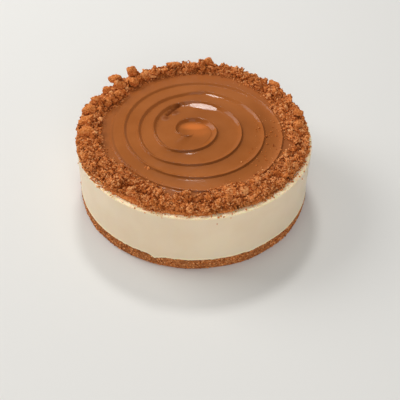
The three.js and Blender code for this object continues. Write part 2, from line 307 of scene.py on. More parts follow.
def makeBase(values):
    top = cake["baseHeight"]
    outer = cake["radius"] + values["proud"]
    edge = values["rounding"]
    inside = outer - seamValues["reach"]
    section = rowOf((0, 0), (outer - edge, 0), 25) + rowOf((outer - edge, 0), (outer, 1.5 * edge), 0.6)
    section += rowOf((outer, 1.5 * edge), (outer, top - edge), values["sideStep"])
    section += rowOf((outer, top - edge), (outer - 2 * edge, top), 0.6)
    section += rowOf((outer - 2 * edge, top), (inside, top), 2)
    section += rowOf((inside, top), (0, top), 25) + [(0, top)]
    form = spunForm(section, values["steps"])
    for vert in form.verts:
        angle, radius = polar(vert.co.x, vert.co.y)
        if radius < inside - 0.5:
            continue
        rise = vert.co.z / top
        height = vert.co.z
        if radius > inside + 0.5:
            height += rise * (seamHeight(angle) - values["gap"] - top)
        push = 0.0
        if radius > outer - 2:
            crag = noise.voronoi(vert.co / values["cragSize"])[0][0]
            push = values["cragDepth"] * (0.5 - crag) * min(1, 2.5 * rise + 0.2)
            push += values["bulge"] * roundNoise(angle, vert.co.z * 0.15, 24, 1.9)
        scale = (radius + push) / radius
        vert.co = Vector((vert.co.x * scale, vert.co.y * scale, height))
    return meshOf("biscuitBase", form)


def makeBaseFinish(values):
    finish, tree, shader = newFinish("pressedBiscuit", Roughness=0.85, Specular_IOR_Level=0.25)
    place = objectPlace(tree)
    grains = addNoise(tree, place, values["grainScale"], 4, 0.65)
    colour = addBiscuitRamp(tree, grains, values, (0.3, 0.5, 0.72))
    patches = addNoise(tree, place, values["patchScale"], 2)
    shaded = addRamp(tree, patches, list(zip((0.3, 0.7), values["patchTints"])))
    colour = addMix(tree, 1.0, colour, shaded, "MULTIPLY")
    tree.links.new(colour, shader.inputs["Base Color"])
    addBump(tree, shader, addNoise(tree, place, values["bumpScale"], 3), 0.7, 0.0004)
    return finish


pressedBiscuit = makeBaseFinish(baseValues)
addPiece("biscuitBase", makeBase(baseValues), pressedBiscuit, ["biscuit_base"])


creamValues = {
    "steps": 540,
    "sideStep": 2.2,
    "rimRounding": 0.9,
    "rimReach": 12.0,  # how far in from the side the top is uneven
    "rimUnevenness": 0.22,
    "wobble": (0.16, 0.1),  # of the side, in height and at the rim
    "lip": 0.6,  # how far the bottom edge swells over the base
    "body": (241, 222, 193),
    "warm": (236, 214, 183),
    # painted highlight on the rim's top edge and on the swollen foot above the seam
    "rim": (255, 236, 196),
    "dust": (232, 148, 78),
    "cloudScale": 28,
    "dustScale": 1100,
    "dustMarks": (0.5, 0.62),
    "dustShare": 0.6,
    "rimBand": (-0.0012, -0.0002),  # of the painted highlight along the rim, from the top
    "bumpScale": 900,
}


def makeCream(values):
    low = cake["baseHeight"]
    top = cake["creamTop"]
    outer = cake["radius"]
    inside = outer - seamValues["reach"]
    rimInside = outer - values["rimReach"]
    rounding = values["rimRounding"]
    section = rowOf((0, low + 0.2), (inside, low + 0.2), 25)
    section += rowOf((inside, low + 0.2), (outer - 1.5, low), 2)
    section += rowOf((outer - 1.5, low), (outer, low + 0.5), 0.5)
    section += rowOf((outer, low + 0.5), (outer, low + 3), 0.5)
    section += rowOf((outer, low + 3), (outer, top - rounding), values["sideStep"])
    for turn in (0.01, 0.4, 0.8, 1.2):
        section.append((outer - rounding * (1 - math.cos(turn)), top - rounding * (1 - math.sin(turn))))
    section += rowOf((outer - rounding, top), (rimInside, top), 0.8)
    section += rowOf((rimInside, top), (0, top), 30) + [(0, top)]
    form = spunForm(section, values["steps"])
    footSwellAndHighlight = form.verts.layers.float.new("foot")
    inHeight, atRim = values["wobble"]
    for vert in form.verts:
        angle, radius = polar(vert.co.x, vert.co.y)
        if radius < rimInside - 0.5:
            continue
        drop = (top - vert.co.z) / (top - low)
        height = vert.co.z
        if radius > inside + 0.5:
            height += drop * (seamHeight(angle) - low)
        push = inHeight * roundNoise(angle, vert.co.z * 0.04, 14, 4.4) * min(1, 3 * drop)
        push += atRim * roundNoise(angle, 0, 60, 6.1) * (1 - drop)
        # the foot's swell, which the finish also paints pale as a highlight
        vert[footSwellAndHighlight] = math.exp(-(((vert.co.z - low - 0.7) / 0.8) ** 2))
        push += values["lip"] * vert[footSwellAndHighlight]
        if vert.co.z > top - 0.1:
            height += values["rimUnevenness"] * noise.noise(vert.co / 5)
        scale = (radius + push) / radius
        vert.co = Vector((vert.co.x * scale, vert.co.y * scale, height))
    return meshOf("creamFilling", form)


def makeCreamFinish(values):
    finish, tree, shader = newFinish("setCream", Roughness=0.42, Specular_IOR_Level=0.4)
    shader.inputs["Subsurface Weight"].default_value = 0.35
    shader.inputs["Subsurface Radius"].default_value = (1.0, 0.6, 0.3)
    shader.inputs["Subsurface Scale"].default_value = 0.004
    place = objectPlace(tree)
    clouds = addNoise(tree, place, values["cloudScale"], 3)
    colour = addRamp(tree, clouds, [(0.35, tint(*values["warm"])), (0.65, tint(*values["body"]))])
    height = addNode(tree, "ShaderNodeSeparateXYZ", {"Vector": place}).outputs["Z"]
    # painted highlight: the rim's top edge and the swollen foot are painted paler
    rim = addRange(tree, height, [cake["creamTop"] * mm + edge for edge in values["rimBand"]])
    paintedHighlight = addMath(tree, "MAXIMUM", rim, readAttribute(tree, "foot"))
    colour = addMix(tree, paintedHighlight, colour, tint(*values["rim"]))
    dust = addNoise(tree, place, values["dustScale"], 3, 0.7)
    dust = addRamp(tree, dust, list(zip(values["dustMarks"], ((0, 0, 0, 1), (1, 1, 1, 1)))))
    dust = addMath(tree, "MULTIPLY", dust, addMath(tree, "MULTIPLY", rim, values["dustShare"]))
    colour = addMix(tree, dust, colour, tint(*values["dust"]))
    tree.links.new(colour, shader.inputs["Base Color"])
    addBump(tree, shader, addNoise(tree, place, values["bumpScale"], 2), 0.12, 0.0003)
    return finish


setCream = makeCreamFinish(creamValues)
addPiece("creamFilling", makeCream(creamValues), setCream, ["cream_filling"])


# Spread: a crest runs outwards in a spiral, clockwise from above, from a hook that curls in over the middle
spiral = {
    "hookAngle": 205,
    "startRadius": 7.8,
    "growth": 26.2,  # a turn
    "slowing": 4.05,
    "widening": 0.47,
    "offsetX": -5.9,
    "driftX": 3.4,  # a turn
    "offsetY": 2.4,
    "hookTurns": 0.13,
    "hookCurl": 0.15,  # turns in which the hook would reach the axis
    "turns": 4.15,
}
wavers = (  # where the hand wavered: turns from the hook, half width in turns, millimetres outwards
    (0.555, 0.1, 1.3),
    (0.93, 0.06, 1.9),
    (1.275, 0.15, 3.4),
    (1.95, 0.06, 1.9),
    (2.34, 0.04, 1.6),
    (3.21, 0.13, 2.6),
    (3.555, 0.13, -2.7),
)
reliefValues = {
    "crest": 0.9,
    "slope": 0.34,  # of the hollows where they climb to the next crest out
    "leastSlope": 0.1,  # share of it that is left in front
    "pool": 0.5,  # depth of the middle below the flat level
    "poolWall": 1.7,
    "outerFlank": 60.0,
    "lip": (1.45, 1.6),  # height of the thin lip on the crest, in front and behind on the left
    "hookLip": 0.7,  # share of that height round the pool
    "lipWidth": 0.56,  # of its steep outer side
    "innerFlank": (6.0, 2.6),  # how much wider its inner side is, in front and behind on the left
    "groove": 0.42,  # along its foot on the front right side, as a share of its height
    "grooveSide": 305,
    "apron": (2.5, 0.9, 0.24),  # low swell beyond the foot in front: how far, half width and height
    "outerApron": 0.15,  # share of it on the outer turns
    "wideLip": (0.56, 0.2, 0.9),  # at, half width in turns, how much wider
    "facets": (  # wiped flat by the knife: place, rise to the right and backwards, bearing, half span, crest
        (8.0, 33.2, 0.045, 0.18, 78, 19, 1),
        (15.5, 51.2, 0.06, 0.195, 72, 9, 2),
    ),
}


def crestBearing(turns):  # in degrees
    return spiral["hookAngle"] - 360 * turns


def lipRadius(turns):
    started = np.maximum(turns, 0)
    angle = math.radians(spiral["hookAngle"]) - started * fullTurn
    radius = spiral["startRadius"] + spiral["growth"] * started
    radius = radius + spiral["widening"] * started**3 - spiral["slowing"] * started**2
    radius = radius + (spiral["offsetX"] + spiral["driftX"] * started) * np.cos(angle)
    radius = radius + spiral["offsetY"] * np.sin(angle)
    for at, width, out in wavers:
        radius = radius + out * np.exp(-(((started - at) / width) ** 2))
    return radius * np.minimum(1, 1 + turns / spiral["hookCurl"])


def crestHeight(turns):
    ends = 1 - smoothStep(turns, spiral["turns"] - 0.2, spiral["turns"])
    return reliefValues["crest"] * mix(1, 0.7, smoothStep(turns, 1.2, 4)) * ends


def presence(turns):  # the crest rises from nothing in the hook
    return smoothStep(turns, -spiral["hookTurns"], -0.02)


def bowlHeight(turns, radius):  # inside the first crest: steep at the pool, wide where the crest has left it
    values = reliefValues
    at = lipRadius(turns)
    wall = mix(values["poolWall"], 0.85 * at, smoothStep(turns, 0.35, 0.65))
    climb = np.maximum(0, 1 + (np.minimum(radius, at) - at) / wall) ** 1.6
    return mix(-values["pool"], crestHeight(turns), climb)


def hollowShare(turns):  # the hollows are deepest behind and nearly flat in front
    behind = smoothStep(np.sin(np.radians(crestBearing(turns))), -0.7, 0.5)
    return mix(reliefValues["leastSlope"], 1, behind) * mix(1, 0.75, smoothStep(turns, 1.2, 3))


def bandHeight(turns, radius):  # between the crest at these turns and the next one out
    inner, outer = lipRadius(turns), lipRadius(turns + 1)
    width = outer - inner
    past = np.clip(radius - inner, 0, width)
    share = past / width
    slope = reliefValues["slope"] * hollowShare(turns) * presence(turns + 1)
    hollow = mix(crestHeight(turns), crestHeight(turns + 1), share) - slope * past * share * (1 - share)
    flank = crestHeight(turns) * np.maximum(0, 1 - past / reliefValues["outerFlank"])
    return mix(hollow, flank, smoothStep(turns + 1, spiral["turns"] - 0.2, spiral["turns"]))


def reliefFrom(first, radius):  # where the innermost crest is at these turns
    height = bowlHeight(first, radius)
    for k in range(5):
        height = np.where(radius > lipRadius(first + k), bandHeight(first + k, radius), height)
    return height


def awayFrom(turns, radius):  # distance outwards from the crest, square to it
    at = lipRadius(turns)
    run = (lipRadius(turns + 0.003) - lipRadius(turns - 0.003)) / (0.006 * fullTurn)
    return (radius - at) / np.sqrt(1 + (run / np.maximum(at, 0.5)) ** 2)


def facingFront(turns, low, high):  # where the crest lies in front and on the right, from 0 to 1
    aside = np.radians(crestBearing(turns) - reliefValues["grooveSide"])
    return smoothStep(np.cos(aside), low, high)


def crestPaintedShade(turns, radius):  # painted light up to the crest and painted shade beyond it, darkest in a painted line just past its foot
    away = awayFrom(turns, radius)
    inside = 1.3 * np.exp(-np.abs(away) / 2.4)
    outside = -np.exp(-((away / 6.5) ** 2)) - 0.8 * np.exp(-(((away - 0.6) / 0.6) ** 2))
    return facingFront(turns, -0.1, 0.5) * presence(turns) * np.where(away < 0, inside, outside)


def lipWaves(turns):  # the lip's height varies along the crest
    marks = np.linspace(-1, 6, 1400)
    waves = [1 + 0.25 * noise.noise((t * 11, 3.1, 0)) + 0.12 * noise.noise((t * 40, 5.1, 0)) for t in marks]
    return np.interp(turns, marks, waves)


def lipHeight(turns):
    values = reliefValues
    height = mix(*values["lip"], leftBehind(crestBearing(turns)))
    height = height * presence(turns) * crestHeight(turns) / values["crest"]
    return height * mix(values["hookLip"], 1, smoothStep(turns, 0.25, 0.6))


def apronHeight(turns, away):
    reach, halfWidth, swell = reliefValues["apron"]
    apron = swell * np.exp(-(((away - reach) / halfWidth) ** 2)) * facingFront(turns, 0.55, 0.85)
    apron = apron * mix(1, reliefValues["outerApron"], smoothStep(turns, 0.9, 1.3))
    return apron * (away > 0) * presence(turns)


def lipRise(turns, radius):  # a ramp up to the crest, a steep outer side and a groove along the foot
    values = reliefValues
    away = awayFrom(turns, radius)
    widestAt, widestFor, wider = values["wideLip"]
    widest = np.exp(-(((turns - widestAt) / widestFor) ** 2))
    width = values["lipWidth"] * (1 + wider * widest)
    degrees = crestBearing(turns)
    inner = width * mix(*values["innerFlank"], leftBehind(degrees)) * mix(1, 0.55, widest)
    facing = np.sign(away) * np.cos(np.radians(degrees - values["grooveSide"]))
    share = values["groove"] * np.maximum(smoothStep(facing, -0.1, 0.6), widest)
    foot = np.where(away > 0, 1.7 * width, inner + 0.5 * width)
    groove = share * np.exp(-(((np.abs(away) - foot) / (0.7 * width)) ** 2))
    steep = np.exp(-(np.abs(away / width) ** 2.4))
    ramp = np.maximum(0, 1 - np.abs(away) / inner) ** 1.25
    rise = lipHeight(turns) * (np.where(away > 0, steep, ramp) - groove) + apronHeight(turns, away)
    return rise * lipWaves(turns)


def turnsFrom(angle):
    return (spiral["hookAngle"] - np.degrees(angle)) % 360 / 360


def hollowRelief(angle, radius):  # without the lips
    first = turnsFrom(angle)
    return mix(reliefFrom(first, radius), reliefFrom(first - 1, radius), presence(first - 1))


def withFacet(height, angle, radius, facet):
    x, y, toRight, backwards, at, span, crest = facet
    foot = hollowRelief(np.array([math.atan2(y, x)]), np.array([math.hypot(x, y)]))[0]
    plane = foot + toRight * (radius * np.cos(angle) - x) + backwards * (radius * np.sin(angle) - y)
    plane = plane - 0.2 * np.maximum(0, np.abs(np.degrees(angle) - at) - span)
    first = turnsFrom(angle)
    inside = (radius > lipRadius(first + crest - 1)) & (radius < lipRadius(first + crest))
    return np.where(inside, np.maximum(height, plane), height)


# painted light and shade of all the crests together
def swirlPaintedShade(angle, radius):
    return sum(crestPaintedShade(turnsFrom(angle) + k, radius) for k in range(-1, 5))


def swirlRelief(angle, radius):
    height = hollowRelief(angle, radius)
    for k in range(-1, 5):
        height = height + lipRise(turnsFrom(angle) + k, radius)
    for facet in reliefValues["facets"]:
        height = withFacet(height, angle, radius, facet)
    return height


spreadValues = {
    "steps": 360,
    "radialStep": 0.33,
    "hiddenStep": 1.1,  # under the crumbs
    "edgeDrop": (0.3, -0.25),  # behind and in front
    "hiddenDrop": 1.9,  # where the crumbs cover it
    "gouge": ((-14.5, 37.6), (-24.0, 24.0), 2.1, 1.5),  # from, to, half width, depth
    "bumps": (  # place, reach and height of each
        (-17.8, 27.6, 3.4, 0.8),
        (-25.0, 19.5, 3.0, 0.5),
        (-20.5, 31.5, 1.8, 0.4),
    ),
    "streak": ((-35.0, -64.5), (-2.5, -75.5), 0.55),  # from, to, half width
    "streakHeight": 0.3,
    # painted highlight along the streak's ridge
    "streakShade": 1.2,
    # strength of the painted light and shade along the crests, as a share of the colour
    "shading": 0.16,
    "shades": (-2.4, 1.3),  # darkest painted shade and palest painted light
    "pool": ((0.0, 8.6, 16.0, 7.0, 1.0), (4.0, 2.5, 14.0, 10.0, 0.4)),  # centre, reach and strength of each
    "brown": (168, 98, 46),
    "deep": (155, 87, 36),
    "edge": (165, 96, 51),  # paler towards the crumbs, which tint it
    "amber": (208, 116, 52),
    "torn": (100, 46, 13),
    "edgeBand": (0.09, 0.106),  # from the axis, where it grows paler
    "roughness": (0.08, 0.2),
    "tornRoughness": 0.9,
    "cloudScale": 24,
    "markScale": 140,
    "bumpScale": 260,
}


def tornShape(x, y, values):  # rise of the torn patch, and how torn it is from 0 to 1
    first, last, width, depth = values["gouge"]
    along, away = besideLine(x, y, first, last)
    if away > 12:  # beyond the bumps' reach
        return 0, 0
    jagged = width * (1 + 0.6 * noise.noise((along * 5, 2.2, 1.1)))
    torn = math.exp(-((away / jagged) ** 2))
    rise = -depth * torn * (1 + 0.5 * noise.fractal((x / 1.7, y / 1.7, 3), 0.9, 2, 3))
    for cx, cy, reach, height in values["bumps"]:
        bump = math.exp(-(((x - cx) ** 2 + (y - cy) ** 2) / reach**2))
        rise += height * bump * (1 + 0.8 * noise.fractal((x / 2.6, y / 2.6, 9), 0.9, 2, 3))
        torn = max(torn, 0.8 * bump)
    return rise, torn


def streakShape(x, y, values):  # a straight low ridge where the knife was lifted; its share also paints a highlight along it
    first, last, width = values["streak"]
    along, away = besideLine(x, y, first, last)
    if away > 4 * width:
        return 0.0
    return math.exp(-((away / width) ** 2)) * (0.7 + 0.6 * noise.noise((along * 7, 1.2, 5.5)))


def unevenness(x, y, angle, radius):  # gentle waves, and marks of the palette knife along the turns
    turns = radius / 17 + angle / fullTurn
    marks = 0.02 * noise.noise((turns * 17, angle * 1.3, 2.2))
    marks += 0.012 * noise.noise((turns * 41, angle * 2, 7.2))
    return marks + 0.12 * noise.noise((x / 19, y / 19, 1.7)) + 0.02 * noise.noise((x / 6, y / 6, 4.2))


def makeSpread(values):
    outer = cake["spreadRadius"]
    level = cake["spreadLevel"]
    under = cake["creamTop"] + 0.2
    section = rowOf((0, level), (80, level), values["radialStep"])
    section += rowOf((80, level), (outer, level), values["hiddenStep"])
    section += rowOf((outer, level), (outer + 0.3, under), 0.8)
    section += rowOf((outer + 0.3, under), (0, under), 30) + [(0, under)]
    form = spunForm(section, values["steps"])
    poolLayer = form.verts.layers.float.new("pool")
    tornLayer = form.verts.layers.float.new("torn")
    paintedShadeLayer = form.verts.layers.float.new("shade")
    top = [vert for vert in form.verts if vert.co.z > level - 0.01]
    spots = np.array([vert.co for vert in top])
    angles, radii = np.arctan2(spots[:, 1], spots[:, 0]), np.hypot(spots[:, 0], spots[:, 1])
    drops = mix(*values["edgeDrop"], smoothStep(-np.sin(angles), -0.3, 0.7))
    heights = level + swirlRelief(angles, radii) - drops * smoothStep(radii, 62, outer)
    heights = heights - values["hiddenDrop"] * smoothStep(radii, 87, 93)
    # painted light and shade along the crests, kept on each vertex
    shades = swirlPaintedShade(angles, radii)
    darkest, palest = values["shades"]
    for vert, angle, radius, height, shade in zip(top, angles, radii, heights, shades):
        x, y, _ = vert.co
        rise, vert[tornLayer] = tornShape(x, y, values)
        streak = streakShape(x, y, values)
        vert.co.z = height + unevenness(x, y, angle, radius) + rise + values["streakHeight"] * streak
        vert[paintedShadeLayer] = max(darkest, min(palest, shade + values["streakShade"] * streak))
        for cx, cy, rx, ry, strength in values["pool"]:
            share = strength * (1 - smoothStep(math.hypot((x - cx) / rx, (y - cy) / ry), 0.2, 1))
            vert[poolLayer] = max(vert[poolLayer], share)
    return meshOf("biscuitSpread", form)


def makeSpreadFinish(values):
    finish, tree, shader = newFinish("caramelSpread", Specular_IOR_Level=0.13)
    place = objectPlace(tree)
    clouds = addNoise(tree, place, values["cloudScale"], 3, 0.55)
    colour = addRamp(tree, clouds, [(0.32, tint(*values["deep"])), (0.62, tint(*values["brown"]))])
    reach = addNode(tree, "ShaderNodeVectorMath", {0: place}, operation="LENGTH").outputs["Value"]
    colour = addMix(tree, addRange(tree, reach, values["edgeBand"]), colour, tint(*values["edge"]))
    # painted light and shade: the colour is scaled up before each crest and down beyond it
    paintedLightness = addMath(tree, "MULTIPLY", readAttribute(tree, "shade"), values["shading"])
    scaled = {0: colour, "Scale": addMath(tree, "ADD", paintedLightness, 1)}
    colour = addNode(tree, "ShaderNodeVectorMath", scaled, operation="SCALE").outputs[0]
    torn = readAttribute(tree, "torn")
    colour = addMix(tree, addMath(tree, "MULTIPLY", torn, 0.8), colour, tint(*values["torn"]))
    colour = addMix(tree, readAttribute(tree, "pool"), colour, tint(*values["amber"]))
    tree.links.new(colour, shader.inputs["Base Color"])
    marks = addNoise(tree, place, values["markScale"], 3)
    roughness = addRange(tree, marks, toRange=values["roughness"])
    tornRoughness = addMath(tree, "MULTIPLY", torn, values["tornRoughness"])
    tree.links.new(addMath(tree, "ADD", roughness, tornRoughness), shader.inputs["Roughness"])
    addBump(tree, shader, addNoise(tree, place, values["bumpScale"], 2), 0.1, 0.0006)
    return finish


caramelSpread = makeSpreadFinish(spreadValues)
addPiece("biscuitSpread", makeSpread(spreadValues), caramelSpread, ["biscuit_spread"])


# Crumb ring: a rough core over the CAD heap, with lumps, crumbs and grains laid on it
crumbFinishValues = {
    "dark": (122, 50, 7),
    "middle": (211, 122, 57),
    "light": (243, 180, 120),
    "toneShare": 0.5,  # how much the tone attribute tells: a grain's own tone, and the heap's painted shade in its gaps
    "speckScale": 800,
    "bumpScale": 1700,
}


def makeCrumbFinish(name, values, toned):
    finish, tree, shader = newFinish(name, Roughness=0.85, Specular_IOR_Level=0.12)
    place = objectPlace(tree)
    tone = addNoise(tree, place, values["speckScale"], 3, 0.6)
    if toned:
        own = addMath(tree, "MULTIPLY", readAttribute(tree, "tone"), values["toneShare"])
        tone = addMath(tree, "SUBTRACT", addMath(tree, "ADD", own, tone), values["toneShare"] / 2)
    colour = addBiscuitRamp(tree, tone, values, (0.22, 0.5, 0.8))
    tree.links.new(colour, shader.inputs["Base Color"])
    addBump(tree, shader, addNoise(tree, place, values["bumpScale"], 3), 0.6, 0.0003)
    return finish


biscuitCrumb = makeCrumbFinish("biscuitCrumb", crumbFinishValues, True)
biscuitBroken = makeCrumbFinish("biscuitBroken", crumbFinishValues, False)

rimValues = {  # how far out the crumbs reach: at, half width in degrees and change in millimetres
    "behind": 100.4,
    "ragged": 0.6,
    "shifts": (
        (232, 16, -3.6),
        (238, 6, -4.2),
        (291, 13, -3.2),
        (261, 4, -2.2),
        (274, 30, -4.4),
        (276, 4, 1.4),
        (324, 22, -5.0),
        (3, 24, -2.6),
    ),
}


def rimLimit(degrees):
    turn = np.radians(degrees)
    limit = rimValues["behind"] + rimValues["ragged"] * np.sin(47 * turn + 2 * np.sin(11 * turn))
    for at, width, change in rimValues["shifts"]:
        limit = limit + change * near(degrees, at, width)
    return limit


coreValues = {
    "voxel": 0.75,
    "sink": 0.7,
    "bumpSize": 2.3,
    "bumpHeight": 1.3,
    "waves": 2.2,
    "waveSize": 7,
    "clumpSize": 8.5,
    "gapWidth": 0.16,  # between clumps, as a share of their size
    "crevice": 2.6,
    "cracks": (  # at, half span in degrees, radius, half width
        (272, 10, 87.0, 1.5),
        (240, 8, 86.5, 1.2),
        (298, 9, 87.5, 1.2),
        (324, 8, 84.0, 1.2),
        (345, 8, 87.0, 1.3),
    ),
    "tone": (0.5, 0.6),  # at the foot and on the heap
    "gapTone": 0.6,  # painted shade: how much darker the gaps are painted, where shade falls
    "edgeMargin": 0.8,  # kept inside rimLimit
    "edgePull": 0.8,
}


def clumpGap(place, size):  # from 0 inside a clump to 1 in the gap between two
    warped = place / size + 0.35 * noise.noise_vector(place / (0.6 * size))
    nearest = noise.voronoi(warped)[0]
    return math.exp(-(((nearest[1] - nearest[0]) / coreValues["gapWidth"]) ** 2))


def crackGap(place):  # from 0 to 1 in the long cracks between clumps
    angle, radius = polar(place.x, place.y)
    gap = 0.0
    for at, span, middle, width in coreValues["cracks"]:
        beside = turnedFrom(math.degrees(angle), at)
        away = radius - middle - 1.6 * noise.noise((beside / 4, 6.1, at))
        gap = max(gap, math.exp(-((away / width) ** 2) - (beside / span) ** 6))
    return gap


def heapGap(place):
    return max(clumpGap(place, coreValues["clumpSize"]), 1.5 * crackGap(place))


def edgeScale(angle, radius):  # draws the heap in behind its outer edge
    over = max(0, radius - rimLimit(math.degrees(angle)) + coreValues["edgeMargin"])
    return 1 - coreValues["edgePull"] * over / max(radius, 1)


def makeCore(values):
    form = remeshed(formOfNode("crumb_ring"), values["voxel"])
    form.normal_update()
    toneAndShadeLayer = form.verts.layers.float.new("tone")
    footTone, heapTone = values["tone"]
    for vert in form.verts:
        vert[toneAndShadeLayer] = footTone
    for vert in form.verts:
        x, y, z = vert.co
        angle, radius = polar(x, y)
        if z < cake["spreadLevel"] + 1.6 and vert.normal.z < 0.2 and radius < cake["spreadRadius"] + 2:
            vert.co.z = min(z, cake["spreadLevel"] - 0.8)  # underside, sunk into the spread
            continue
        scale = edgeScale(angle, radius)
        if z < cake["creamTop"] + 1.2:  # foot, sunk into the cream
            vert.co = Vector((x * scale, y * scale, min(z, cake["creamTop"] - 0.3)))
            continue
        bump = 0.5 - noise.voronoi(vert.co / values["bumpSize"])[0][0]
        push = values["bumpHeight"] * bump - values["sink"]
        push += values["waves"] * noise.noise(vert.co / values["waveSize"])
        gap = heapGap(vert.co)
        # painted shade in the gaps between clumps and along the cracks
        vert[toneAndShadeLayer] = heapTone - values["gapTone"] * gap
        push -= values["crevice"] * gap
        vert.co += vert.normal * push
        vert.co = Vector((vert.co.x * scale, vert.co.y * scale, vert.co.z))
    return meshOf("crumbHeap", form)


heapMesh = makeCore(coreValues)
addPiece("crumbHeap", heapMesh, biscuitCrumb, ["crumb_ring"])

chunkValues = {
    "voxel": 0.45,
    "faces": 9,
    "faceReach": 0.8,
    "swell": 1.07,
    "roughness": 0.4,
    "knobs": 0.2,
    "pits": 0.2,
    "crack": 0.35,
}


def crackAt(place):  # from 1 along a winding crack to 0 beside it
    return max(0, 1 - 6 * abs(noise.noise(place)))


def breakFaces(form, values):  # presses flat broken faces onto a swollen form
    middle = sum((vert.co for vert in form.verts), Vector()) / len(form.verts)
    for vert in form.verts:
        vert.co = middle + (vert.co - middle) * values["swell"]
    for side in draw.normal(size=(values["faces"], 3)):
        side = Vector(side).normalized()
        limit = values["faceReach"] * max((vert.co - middle).dot(side) for vert in form.verts)
        for vert in form.verts:
            vert.co -= side * 0.92 * max(0, (vert.co - middle).dot(side) - limit)


def makeChunk(name, node, values):
    form = remeshed(formOfNode(node), values["voxel"])
    breakFaces(form, values)
    form.normal_update()
    for vert in form.verts:
        place = vert.co
        push = values["roughness"] * noise.fractal(place / 4.6, 1.1, 2.1, 3)
        push += values["pits"] * (0.35 - noise.voronoi(place / 1.4)[0][0])
        push += values["knobs"] * noise.noise(place / 1.5)
        push -= values["crack"] * crackAt(place / 3.4)
        vert.co += vert.normal * push
    return meshOf(name, form)


for node in sorted(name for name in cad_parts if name.startswith("chunk_")):
    name = "broken" + "".join(word.capitalize() for word in node.split("_")[1:])
    addPiece(name, makeChunk(name, node, chunkValues), biscuitBroken, [node])


# Loose grains: a few rough shapes of each kind, laid out many times over the skin below them

def makeGrainShapes(count, detail, roughness, cuts=5, slimness=0.7, crack=0.0):
    shapes = []
    for i in range(count):
        form = bmesh.new()
        bmesh.ops.create_icosphere(form, subdivisions=detail, radius=1)
        squash = draw.uniform(slimness, 1.15, 3)
        sides = [Vector(side).normalized() for side in draw.normal(size=(cuts, 3))]
        for vert in form.verts:
            for side in sides:  # broken faces: what stands out past a plane is pressed onto it
                vert.co -= side * max(0, vert.co.dot(side) - 0.62)
            push = 1 + roughness * noise.noise(vert.co * 1.6 + Vector((7.3 * i, 2.1, detail)))
            push += 0.45 * roughness * noise.noise(vert.co * 3.9 + Vector((1.9, 5.7 * i, detail)))
            push += 0.2 * roughness * noise.noise(vert.co * 8.3 + Vector((4.1, 3.3, i)))
            push -= crack * crackAt(vert.co * 1.3 + Vector((i, 4.4, 3.1 * i)))
            vert.co = Vector(squash * np.array(vert.co) * push)
        corners = np.array([vert.co for vert in form.verts])
        faces = np.array([[vert.index for vert in face.verts] for face in form.faces])
        form.free()
        shapes.append((corners * 1.15, faces))
    return shapes


def randomTurns(count):  # rotation matrices from random unit quaternions
    w, x, y, z = (q := draw.normal(size=(4, count))) / np.linalg.norm(q, axis=0)
    rows = [
        [1 - 2 * (y * y + z * z), 2 * (x * y - z * w), 2 * (x * z + y * w)],
        [2 * (x * y + z * w), 1 - 2 * (x * x + z * z), 2 * (y * z - x * w)],
        [2 * (x * z - y * w), 2 * (y * z + x * w), 1 - 2 * (x * x + y * y)],
    ]
    return np.moveaxis(np.array(rows), 2, 0)


def layGrains(name, shapes, places, sizes, tones):
    corners, faces, shades = [], [], []
    turns = randomTurns(len(places))
    start = 0
    for i, (place, size, tone) in enumerate(zip(places, sizes, tones)):
        shape, sides = shapes[i % len(shapes)]
        corners.append(shape @ turns[i].T * size + place)
        faces.append(sides + start)
        shades.append(np.full(len(shape), tone))
        start += len(shape)
    mesh = bpy.data.meshes.new(name)
    mesh.from_pydata(np.concatenate(corners).tolist(), [], np.concatenate(faces).tolist())
    layer = mesh.attributes.new("tone", "FLOAT", "POINT")
    layer.data.foreach_set("value", np.concatenate(shades).astype(np.float32))
    return mesh


def skinOf(meshes):  # corners of all triangles, in millimetres
    parts = []
    for mesh in meshes:
        mesh.calc_loop_triangles()
        corners = np.zeros(len(mesh.vertices) * 3)
        mesh.vertices.foreach_get("co", corners)
        sides = np.zeros(len(mesh.loop_triangles) * 3, int)
        mesh.loop_triangles.foreach_get("vertices", sides)
        parts.append(corners.reshape(-1, 3)[sides].reshape(-1, 3, 3) / mm)
    return np.concatenate(parts)


def inFixedOrder(skin):  # a spun form's faces come in another order in every run
    keys = np.round(skin, 3) @ (1.0, 0.0371, 0.00193)  # a slanting direction, so that no two corners tie
    rows = np.arange(len(skin))[:, None]
    skin = skin[rows, (keys.argmin(axis=1)[:, None] + np.arange(3)) % 3]
    return skin[np.lexsort(np.round(skin.mean(axis=1), 3).T)]


def pointsOn(skin, count, chance):  # places and normals spread by area, kept by a chance from 0 to 1
    normals = np.cross(skin[:, 1] - skin[:, 0], skin[:, 2] - skin[:, 0])
    areas = np.linalg.norm(normals, axis=1)
    middles = skin.mean(axis=1)
    normals = normals / np.maximum(areas, 1e-9)[:, None]
    weights = areas * np.clip(chance(middles, normals), 0, 1)
    chosen = draw.choice(len(skin), count, p=weights / weights.sum())
    a, b = draw.uniform(size=(2, count))
    over = a + b > 1
    a[over], b[over] = 1 - a[over], 1 - b[over]
    first, second, third = np.moveaxis(skin[chosen], 1, 0)
    places = first + a[:, None] * (second - first) + b[:, None] * (third - first)
    return places, normals[chosen]


def ringPlaces(degrees, radii):
    at = np.radians(degrees)
    return np.column_stack([radii * np.cos(at), radii * np.sin(at)])


def bearing(places):  # degrees round the cake
    return np.degrees(np.arctan2(places[:, 1], places[:, 0])) % 360


def drawnSizes(values, share=1):  # more small ones than large
    drawn = draw.uniform(0, 1, values["count"]) ** 1.5
    return mix(values["smallest"], values["largest"], drawn * share)


def lifted(places, normals, sizes, low, high):  # out of the skin by a random share of their size
    return places + normals * (sizes * draw.uniform(low, high, len(sizes)))[:, None]


